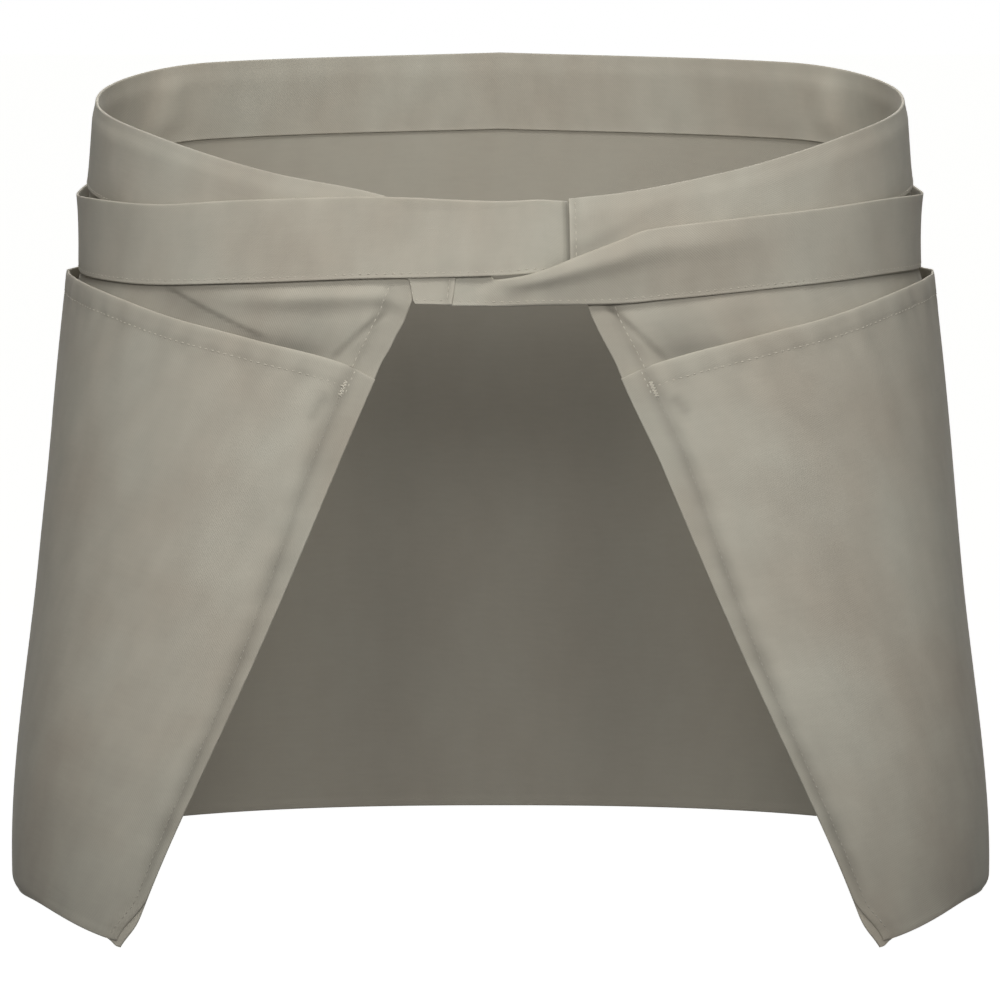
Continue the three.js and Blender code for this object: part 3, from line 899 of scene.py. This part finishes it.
def waistband():
    edge_length = sum(span.length for span in BAND_EDGE_STEPS)
    inner_steps = [*BAND_EDGE_STEPS, Span(INNER_LEG - edge_length, BAND_LEG_STEP)]
    outer_steps = [Span(OUTER_LEG - edge_length, BAND_LEG_STEP), *BAND_EDGE_STEPS[::-1]]
    places = graded([*inner_steps, Span(BAND_FOLD, BAND_FOLD / BAND_FOLD_STEPS), *outer_steps])
    half_length = (BAND_RIGHT_END - BAND_LEFT_END) / 2 * TURN_MM
    alongs = mirrored_span(BAND_ALONG_STEPS, half_length)
    turns = alongs / TURN_MM + (BAND_LEFT_END + BAND_RIGHT_END) / 2
    turn, place = np.meshgrid(turns, places, indexing="ij")
    from_end = np.minimum(turn - turns[0], turns[-1] - turn) * TURN_MM
    from_lower = np.minimum(place, places[-1] - place)
    from_fold = np.abs(place - INNER_LEG - BAND_FOLD / 2)
    edge = np.minimum(from_end, from_lower)
    along = turn * TURN_MM
    free = smoothstep(from_lower, *BAND_FREE_EDGE) * smoothstep(from_fold, *BAND_FREE_FOLD)
    outer = place > INNER_LEG
    lower_seam = outer * seam_relief(BAND_LOWER, from_lower - BAND_STITCH, along)
    relief = lower_seam + seam_relief(BAND_ENDS, from_end - BAND_END_STITCH, place)
    out = BAND_MIDDLE + free * (wave_height(BAND_WAVE, along, place) + fold_depth(BAND_FOLDS, turn, place))
    face, lining = two_faces(band_surface, turn, place, out, edge, CLOTH, relief)
    cloth_map = np.stack([along, place], -1)
    # Painted light and shade on the band, and painted shade along its stitched ends
    outside = fold_depth(BAND_PAINTED_LIGHT_AND_SHADE, turn, place)
    outside = outside + outer * seam_shade(BAND_ENDS, from_end - BAND_END_STITCH, place)
    shape = sheet_shape(face, lining, cloth_map, np.minimum(edge, from_fold), outside)
    return new_piece("waistband_cloth", [shape], [RIGHT_SIDE, WRONG_SIDE_SHADED])


# The ties
TIE_STITCH = 2.0  # the stitching above a tie's lower edge
TIE_STEPS = [*RIM_STEPS, Span(4, 0.8), Span(12, 1.5)]
TIE_COLUMNS = 330
TIE_CROWDING = 1.25  # the columns stand closer towards a tie's sewn end


class Tie:
    """A flat strap that follows its table's rows; mirror is 1 round by the right and -1 by the left."""

    def __init__(self, rows, mirror):
        self.mirror = mirror
        self.first, self.last = rows[0].turn, rows[-1].turn
        self.height, self.width, self.out, self.tilt, self.roll, self.thick = curves(rows)

    def surface(self, turn, share, out):
        """A point of the tie; share is 0.5 at its upper edge and -0.5 at its lower one."""
        round_turn = self.mirror * turn
        down = down_at(round_turn, self.height(turn) + share * self.width(turn))
        rolled = self.roll(turn) * bell(share - ROLL_SHARE, ROLL_SPAN)
        return layered(round_turn, down, self.out(turn) + share * self.tilt(turn) + rolled + out)


def tie_piece(name, tie, wave, painted_light_and_shade):
    along_tie = np.linspace(0, 1, TIE_COLUMNS) ** TIE_CROWDING
    turns = (tie.first + (tie.last - tie.first) * along_tie)[:: tie.mirror]
    upper = graded(TIE_STEPS)
    upper_shares = 0.5 - 0.5 * upper / upper[-1]
    shares = np.concatenate([upper_shares, -upper_shares[-2::-1]])
    turn, share = np.meshgrid(turns, shares, indexing="ij")
    width, thick = tie.width(turn), tie.thick(turn)
    from_lower, from_upper = (0.5 + share) * width, (0.5 - share) * width
    from_sides = np.minimum(from_lower, from_upper)
    along = turn * TURN_MM
    edge = np.minimum(np.minimum(turn - tie.first, tie.last - turn) * TURN_MM, from_sides)
    waves = np.cos(math.pi * share) * wave_height(wave, along, from_lower)
    relief = waves + seam_relief(TIE_LOWER, from_lower - TIE_STITCH, along)
    face, lining = two_faces(tie.surface, turn, share, 0.0, edge, thick, relief)
    cloth_map = np.stack([along, from_lower], -1)
    # Painted light and shade, laid out from the tie's table
    shape = sheet_shape(face, lining, cloth_map, from_sides, fold_depth(painted_light_and_shade, turn, from_lower))
    return new_piece(name, [shape], [RIGHT_SIDE, RIGHT_SIDE])


# The knot at the hidden front
KNOT_DOWN = 60
KNOT_OUT = 9.6
TAIL_LENGTH = 130
TAIL_WIDTH = 28
TAIL_REST_OUT = 7.7
TAIL_STITCH = 8
TAIL_NECK = 0.5  # share of its width that a tail has at the knot
TAIL_SPREAD = 0.4  # and of its length in which it spreads
TAIL_GATHER = 1.6  # pleats at the knot, and how they run out
TAIL_PLEATS = 14
TAIL_PLEATED = 0.7
TAIL_SETTLED = 0.5
TAIL_WAVED = (0.1, 0.5)
TAIL_DOWN_STEPS = [*RIM_STEPS, Span(124, 2.6), Span(4, 0.8), *RIM_STEPS[::-1]]
TAIL_ACROSS_STEPS = [*RIM_STEPS, Span(3, 0.75), Span(20, 2), Span(3, 0.75), *RIM_STEPS[::-1]]
Tail = namedtuple("Tail", "start_turn end_turn wave")
TAILS = [Tail(-2.5, -13, Wave(0.9, 80, 30, 1.0)), Tail(2.5, 13, Wave(0.9, 80, 30, 2.6))]
LOBES = table(
    "x half_width half_depth half_height crease",
    (-10.5, 9.5, 5.6, 10, 0.10),
    (10.5, 9.5, 5.6, 10, 0.10),
    (0, 9, 7, 16.5, 0.13),
)
LOBE_CREASES = 5
LOBE_TWIST = 2
LOBE_ROUNDING = 0.7
LOBE_REACH = 0.49  # of half a turn, just short of the tips
LOBE_SIDES = 72
LOBE_RINGS = 37


def lobe_shape(lobe, centre):
    """One bulge of the knot, with creases that run along it."""
    angles = np.linspace(0, 2 * math.pi, LOBE_SIDES, endpoint=False)
    rises = np.linspace(-LOBE_REACH, LOBE_REACH, LOBE_RINGS) * math.pi
    angle, rise = np.meshgrid(angles, rises, indexing="ij")
    twist = LOBE_TWIST * np.sin(rise * 2)
    crease = 1 + lobe.crease * np.sin(LOBE_CREASES * angle + twist) * np.cos(rise)
    round_off = np.cos(rise) ** LOBE_ROUNDING
    x = lobe.half_width * crease * round_off * np.cos(angle)
    y = lobe.half_depth * crease * round_off * np.sin(angle)
    z = lobe.half_height * np.sin(rise)
    points = centre + np.stack([x + lobe.x, y, z], -1)
    index = np.arange(angle.size).reshape(angle.shape)
    walls = grid_faces(np.concatenate([index, index[:1]]))
    caps = [index[::-1, 0].tolist(), index[:, -1].tolist()]
    faces = walls.tolist() + caps
    cloth_map = np.stack([angle * lobe.half_width, z], -1)
    slots, fade = np.zeros(len(faces)), np.zeros(index.size)
    return Shape(points.reshape(-1, 3), faces, slots, cloth_map.reshape(-1, 2), fade)


def tail_shape(tail):
    downs = graded_to(TAIL_DOWN_STEPS, TAIL_LENGTH)
    across = graded_to(TAIL_ACROSS_STEPS, 1) - 0.5
    share_across, fall = np.meshgrid(across, downs, indexing="ij")
    share = fall / TAIL_LENGTH
    width = TAIL_WIDTH * (TAIL_NECK + (1 - TAIL_NECK) * smoothstep(share, 0, TAIL_SPREAD))
    degrees = np.degrees(1 / half_depth(KNOT_DOWN))
    turn = tail.start_turn + (tail.end_turn - tail.start_turn) * share + share_across * width * degrees
    edge = np.minimum((0.5 - np.abs(share_across)) * width, np.minimum(fall, TAIL_LENGTH - fall))
    pleats = np.cos(share_across * TAIL_PLEATS + tail.wave.seed)
    gather = TAIL_GATHER * pleats * (1 - smoothstep(share, 0, TAIL_PLEATED))
    wave = np.abs(wave_height(tail.wave, fall, share_across))
    rest = KNOT_OUT + (TAIL_REST_OUT - KNOT_OUT) * smoothstep(share, 0, TAIL_SETTLED)
    out = rest + gather + wave * smoothstep(share, *TAIL_WAVED)
    seam = seam_relief(TAIL_END, TAIL_LENGTH - fall - TAIL_STITCH, share_across * width)
    face, lining = two_faces(layered, turn, KNOT_DOWN + fall, out, edge, TIE_CLOTH, seam)
    cloth_map = np.stack([share_across * width, fall], -1)
    return sheet_shape(face, lining, cloth_map, edge)


def front_knot():
    centre = layered(np.array(0.0), np.array(float(KNOT_DOWN)), np.array(KNOT_OUT))
    lobes = [lobe_shape(lobe, centre) for lobe in LOBES]
    tails = [tail_shape(tail) for tail in TAILS]
    return new_piece("front_knot_cloth", lobes + tails, [RIGHT_SIDE, RIGHT_SIDE])


# Stitches
Thread = namedtuple("Thread", "stitch gap radius")
HEM_THREAD = Thread(1.7, 1.5, 0.2)
SIDE_THREAD = Thread(2.0, 1.1, 0.2)
CORNER_THREAD = Thread(1.7, 1.2, 0.29)
EDGE_THREAD = Thread(1.3, 2.3, 0.15)
TACK_THREAD = Thread(2.4, 0, 0.34)
STITCH_RINGS = (-1, -0.8, -0.35, 0.35, 0.8, 1)
STITCH_SIDES = 6
ARCH_RISE = 0.55  # how far a stitch arches up and its ends dive, in thread radii
ARCH_DIVE = 1.5
END_THINNING = 0.75
THREAD_RISE = 0.06  # a thread's middle above the cloth
ON_CLOTH = CLOTH / 2 + THREAD_RISE
EDGE_SHARES = np.linspace(0.9, 1, 60)  # shares across near a side edge
ROW_START = 1  # how far past an edge a row begins, and how far before one it ends
ROW_END = 3
ROW_END_TURN = 2  # the same in degrees
BAND_END_ROW = 1.5
UNDER_POCKET_EDGE = 2  # how far the panel's rows run on under the pocket
SHORT_ROW = 60  # points along each kind of row
POCKET_SIDE_ROW = 200
POCKET_HEM_ROW = 900
BAND_ROW = 700
TIE_ROW = 500
CORNER_ROW = 1.8  # between the two rows of stitches at a pocket corner
CORNER_ROW_LENGTH = 14
TACK_LENGTH = 7
TACK_STRANDS = 11
TACK_BELOW = 11  # below the pocket's top edge
TACK_SLANT = 0.28


def unit(vectors):
    return vectors / np.linalg.norm(vectors, axis=1, keepdims=True)


def stitch_row(name, thread, points, normals, material=THREADS):
    """A row of stitches along a line on the cloth."""
    steps = np.linalg.norm(np.diff(points, axis=0), axis=1)
    along = np.concatenate([[0], np.cumsum(steps)])
    half = thread.stitch / 2
    centres = np.arange(half, along[-1] - half, thread.stitch + thread.gap)

    def at(distances, values):
        return np.stack([np.interp(distances, along, values[:, k]) for k in range(3)], -1)

    up = unit(at(centres, normals))
    forward = unit(at(centres + half, points) - at(centres - half, points))
    return thread_arches(name, thread, at(centres, points), forward, up, material)


def thread_arches(name, thread, centres, forward, up, material=THREADS):
    """Short threads, each one arched so that its ends dive into the cloth."""
    ring = np.array(STITCH_RINGS)
    angles = np.arange(STITCH_SIDES) * 2 * math.pi / STITCH_SIDES
    arch = thread.radius * (ARCH_RISE - ARCH_DIVE * ring**2)
    thin = thread.radius * np.sqrt(1 - END_THINNING * ring**4)
    x = np.repeat(ring * thread.stitch / 2, STITCH_SIDES)
    y = np.outer(thin, np.cos(angles)).ravel()
    z = np.outer(thin, np.sin(angles)).ravel() + np.repeat(arch, STITCH_SIDES)
    axes = ((forward, x), (np.cross(up, forward), y), (up, z))
    local = sum(axis[:, None, :] * value[None, :, None] for axis, value in axes)
    points = (centres[:, None, :] + local).reshape(-1, 3)
    count = len(STITCH_RINGS) * STITCH_SIDES
    index = np.arange(count).reshape(len(STITCH_RINGS), STITCH_SIDES)
    walls = grid_faces(np.concatenate([index, index[:, :1]], axis=1))
    caps = [list(index[0]), list(index[-1][::-1])]
    faces = []
    for number in range(len(centres)):
        faces += (walls + number * count).tolist()
        faces += [[k + number * count for k in cap] for cap in caps]
    around = np.tile(angles, len(STITCH_RINGS)) * thread.radius
    places = np.tile(np.stack([x, around], -1), (len(centres), 1))
    shape = Shape(points, faces, np.zeros(len(faces)), places, np.zeros(len(points)))
    return new_piece(name, [shape], [material])


def across_at(side, distances, downs):
    """The share across that lies some mm in from a side edge, at each way down."""
    across, down = np.meshgrid(EDGE_SHARES, downs, indexing="ij")
    points = middle(side_turn(side * across, down), down)
    steps = np.linalg.norm(np.diff(points, axis=0), axis=-1)
    inward = np.concatenate([np.cumsum(steps[::-1], axis=0)[::-1], np.zeros((1, len(downs)))])
    rows = zip(distances, inward.T)
    return side * np.array([np.interp(-distance, -row, EDGE_SHARES) for distance, row in rows])


def row_on_cloth(name, thread, turn, down, out, material=THREADS):
    """Stitches along a line that lies out from the panel."""
    return stitch_row(name, thread, layered(turn, down, out + ON_CLOTH), outward(turn, down), material)


def panel_row(name, side):
    """Stitches down a side hem of the panel, from the band to the pocket."""
    first = band_outside(side * edge_turn(0)) + ROW_START
    downs = np.linspace(first, POCKET_TOP[-1].down + UNDER_POCKET_EDGE, SHORT_ROW)
    turn = side_turn(across_at(side, side_hem(downs), downs), downs)
    out = panel_relief(turn, downs) + seam_relief(PANEL_SIDE, 0, downs)
    return row_on_cloth(name, SIDE_THREAD, turn, downs, out)


def pocket_side_row(name, side, beside, length, thread, material):
    """Stitches down a side hem of the pocket, from its top edge, on its seam or beside it."""
    from_top = np.linspace(ROW_START, length, POCKET_SIDE_ROW)
    top = POCKET_TOP[-1].down
    downs = top + from_top * (PANEL_DROP - top) / POCKET_LENGTH
    turn, down, out = pocket_surface(across_at(side, side_hem(downs) - beside, downs), from_top)
    return row_on_cloth(name, thread, turn, down, out + seam_relief(POCKET_SIDE, beside, down), material)


def pocket_hem_row(name):
    reach = 1 - (SIDE_HEMS[0].width + ROW_START) / HALF_GIRTH
    across = np.linspace(-reach, reach, POCKET_HEM_ROW)
    from_top = np.full_like(across, POCKET_HEM)
    turn, down, out = pocket_surface(across, from_top)
    return row_on_cloth(name, HEM_THREAD, turn, down, out + pocket_top_relief(across, from_top))


def band_row(name):
    turns = np.linspace(BAND_LEFT_END + ROW_END_TURN, BAND_RIGHT_END - ROW_END_TURN, BAND_ROW)
    place = np.full_like(turns, INNER_LEG + BAND_FOLD + OUTER_LEG - BAND_STITCH)
    relief = seam_relief(BAND_LOWER, 0, turns * TURN_MM)
    points = band_surface(turns, place, BAND_MIDDLE + relief + ON_CLOTH)
    return stitch_row(name, EDGE_THREAD, points, outward(turns, band_outside(turns)))


def band_end_row(name, end, into):
    fall = np.linspace(BAND_END_ROW, OUTER_LEG - BAND_END_ROW, SHORT_ROW)
    turns = np.full_like(fall, end + into * BAND_END_STITCH / TURN_MM)
    place = INNER_LEG + BAND_FOLD + fall
    relief = seam_relief(BAND_ENDS, 0, place)
    points = band_surface(turns, place, BAND_MIDDLE + relief + ON_CLOTH)
    return stitch_row(name, SIDE_THREAD, points, outward(turns, BAND_SLOT + fall))


def tie_row(name, tie):
    turns = np.linspace(tie.first + ROW_END_TURN, tie.last - ROW_END_TURN, TIE_ROW)
    share = TIE_STITCH / tie.width(turns) - 0.5
    relief = seam_relief(TIE_LOWER, 0, turns * TURN_MM)
    points = tie.surface(turns, share, tie.thick(turns) / 2 + relief + THREAD_RISE)
    round_turns = tie.mirror * turns
    normals = outward(round_turns, down_at(round_turns, tie.height(turns)))
    return stitch_row(name, EDGE_THREAD, points, normals)


def bar_tack(name, side):
    """A dense zigzag that fastens the pocket's upper corner."""
    strand = np.arange(TACK_STRANDS)
    from_top = TACK_BELOW + TACK_LENGTH * (strand / (TACK_STRANDS - 1) - 0.5)
    downs = POCKET_TOP[-1].down + from_top
    turn, down, out = pocket_surface(across_at(side, side_hem(downs), downs), from_top)
    out = out + seam_relief(POCKET_SIDE, 0, down) + ON_CLOTH + THREAD_RISE
    points = layered(turn, down, out)
    up = outward(turn, down)
    run = unit(np.gradient(points, axis=0))
    slant = np.where(strand % 2 == 0, TACK_SLANT, -TACK_SLANT)[:, None]
    return thread_arches(name, TACK_THREAD, points, unit(np.cross(up, run) + slant * run), up)


# Putting the pieces together
panel = skirt_panel()
pocket = pocket_panel()
band = waistband()
right_tie = Tie(RIGHT_TIE, 1)
left_tie = Tie(LEFT_TIE, -1)
tie_right = tie_piece("tie_right_cloth", right_tie, RIGHT_TIE_WAVE, RIGHT_TIE_PAINTED_SHADE)
tie_left = tie_piece("tie_left_cloth", left_tie, LEFT_TIE_WAVE, LEFT_TIE_PAINTED_LIGHT_AND_SHADE)
knot = front_knot()

panel_threads, pocket_threads = [], [pocket_hem_row("pocket_hem_stitches")]
for name, side in (("left", -1), ("right", 1)):
    panel_threads.append(panel_row(f"panel_hem_stitches_{name}", side))
    row_name, corner_name = f"pocket_side_stitches_{name}", f"pocket_corner_stitches_{name}"
    # The side rows lie in their seams' grooves and are painted darker
    side_row = pocket_side_row(row_name, side, 0, POCKET_LENGTH - ROW_END, SIDE_THREAD, SHADED_THREADS)
    corner_row = pocket_side_row(corner_name, side, CORNER_ROW, CORNER_ROW_LENGTH, CORNER_THREAD, THREADS)
    pocket_threads += [side_row, corner_row, bar_tack(f"bar_tack_{name}", side)]
band_threads = [
    band_row("band_stitches"),
    band_end_row("band_end_stitches_left", BAND_LEFT_END, 1),
    band_end_row("band_end_stitches_right", BAND_RIGHT_END, -1),
]
right_threads = [tie_row("tie_right_stitches", right_tie)]
left_threads = [tie_row("tie_left_stitches", left_tie)]

Piece = namedtuple("Piece", "cloth node slot threads")
PIECES = [
    Piece(panel, "skirt_panel", "twill_panel", panel_threads),
    Piece(pocket, "pocket_panel", "twill_pocket", pocket_threads),
    Piece(band, "waistband", "twill_band", band_threads),
    Piece(tie_right, "tie_right", "twill_tie", right_threads),
    Piece(tie_left, "tie_left", "twill_tie", left_threads),
    Piece(knot, "front_knot", "twill_tie", []),
]
for piece in PIECES:
    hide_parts(piece.node)
    for part in [piece.cloth, *piece.threads]:
        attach(part, "root")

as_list(panel_threads)
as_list(pocket_threads)
right_threads.append(knot)


# Stage, light and camera, in metres
FLOOR_BELOW = 0.95
FLOOR_HALF = 400
FLOOR_FINISH = {
    "Base Color": (0.8, 0.8, 0.79, 1),
    "Roughness": 0.9,
    "Emission Color": (1, 1, 0.99, 1),
    "Emission Strength": 0.83,
}
WHITE = (1, 1, 1, 1)
AIR = 0.13  # soft light from all round
AIR_OVERHEAD = 0.117  # more of it from above
LIGHT_AIM = (0, 0, -0.1)
Light = namedtuple("Light", "name place size power")
LIGHTS = [
    Light("key", (0, -1.3, 1.6), (1.2, 0.7), 20),
    Light("fill", (0, -1.9, 0.45), (1.0, 0.5), 17.5),
    Light("front", (0, 2.2, 1.2), (1.6, 1.0), 48),
]
CAMERA_PLACE = (0, -2.400, 0.0874)
CAMERA_PITCH = 85
CAMERA_LENS = 188.96
CAMERA_SENSOR = 36
CAMERA_REACH = 1000


def pale_floor():
    corners = [(-1, -1), (1, -1), (1, 1), (-1, 1)]
    mesh = bpy.data.meshes.new("floor")
    mesh.from_pydata([(x * FLOOR_HALF, y * FLOOR_HALF, -FLOOR_BELOW) for x, y in corners], [], [(0, 1, 2, 3)])
    material, tree, shader = new_material("pale_floor")
    set_inputs(tree, shader, FLOOR_FINISH)
    mesh.materials.append(material)
    floor = new_object("floor", mesh)
    floor.visible_diffuse = False


def soft_light(light):
    lamp = bpy.data.lights.new(light.name, "AREA")
    lamp.shape = "RECTANGLE"
    lamp.size, lamp.size_y = light.size
    lamp.energy = light.power
    holder = new_object(light.name, lamp)
    holder.location = light.place
    holder.rotation_euler = (Vector(LIGHT_AIM) - Vector(light.place)).to_track_quat("-Z", "Y").to_euler()
    holder.visible_camera = False


def studio_air():
    """Soft light from all round, with a white background."""
    world = bpy.data.worlds.new("studio")
    world.use_nodes = True
    tree = world.node_tree
    tree.nodes.clear()
    upward = add_node(tree, "SeparateXYZ", {0: add_node(tree, "TexCoord", {}, "Generated")}, "Z")
    strength = math_node(tree, "MULTIPLY_ADD", upward, AIR_OVERHEAD, AIR)
    air = add_node(tree, "Background", {"Color": WHITE, "Strength": strength})
    white = add_node(tree, "Background", {"Color": WHITE})
    seen = add_node(tree, "LightPath", {}, "Is Camera Ray")
    both = add_node(tree, "MixShader", {"Fac": seen, 1: air, 2: white})
    output = tree.nodes.new("ShaderNodeOutputWorld")
    tree.links.new(both, output.inputs["Surface"])
    bpy.context.scene.world = world


def photo_camera():
    lens = bpy.data.cameras.new("camera")
    lens.sensor_width = CAMERA_SENSOR
    lens.lens = CAMERA_LENS
    lens.clip_end = CAMERA_REACH
    camera = new_object("camera", lens)
    camera.location = CAMERA_PLACE
    camera.rotation_euler = (math.radians(CAMERA_PITCH), 0, 0)
    bpy.context.scene.camera = camera


pale_floor()
studio_air()
for light in LIGHTS:
    soft_light(light)
photo_camera()
bpy.context.scene.view_settings.view_transform = "Standard"
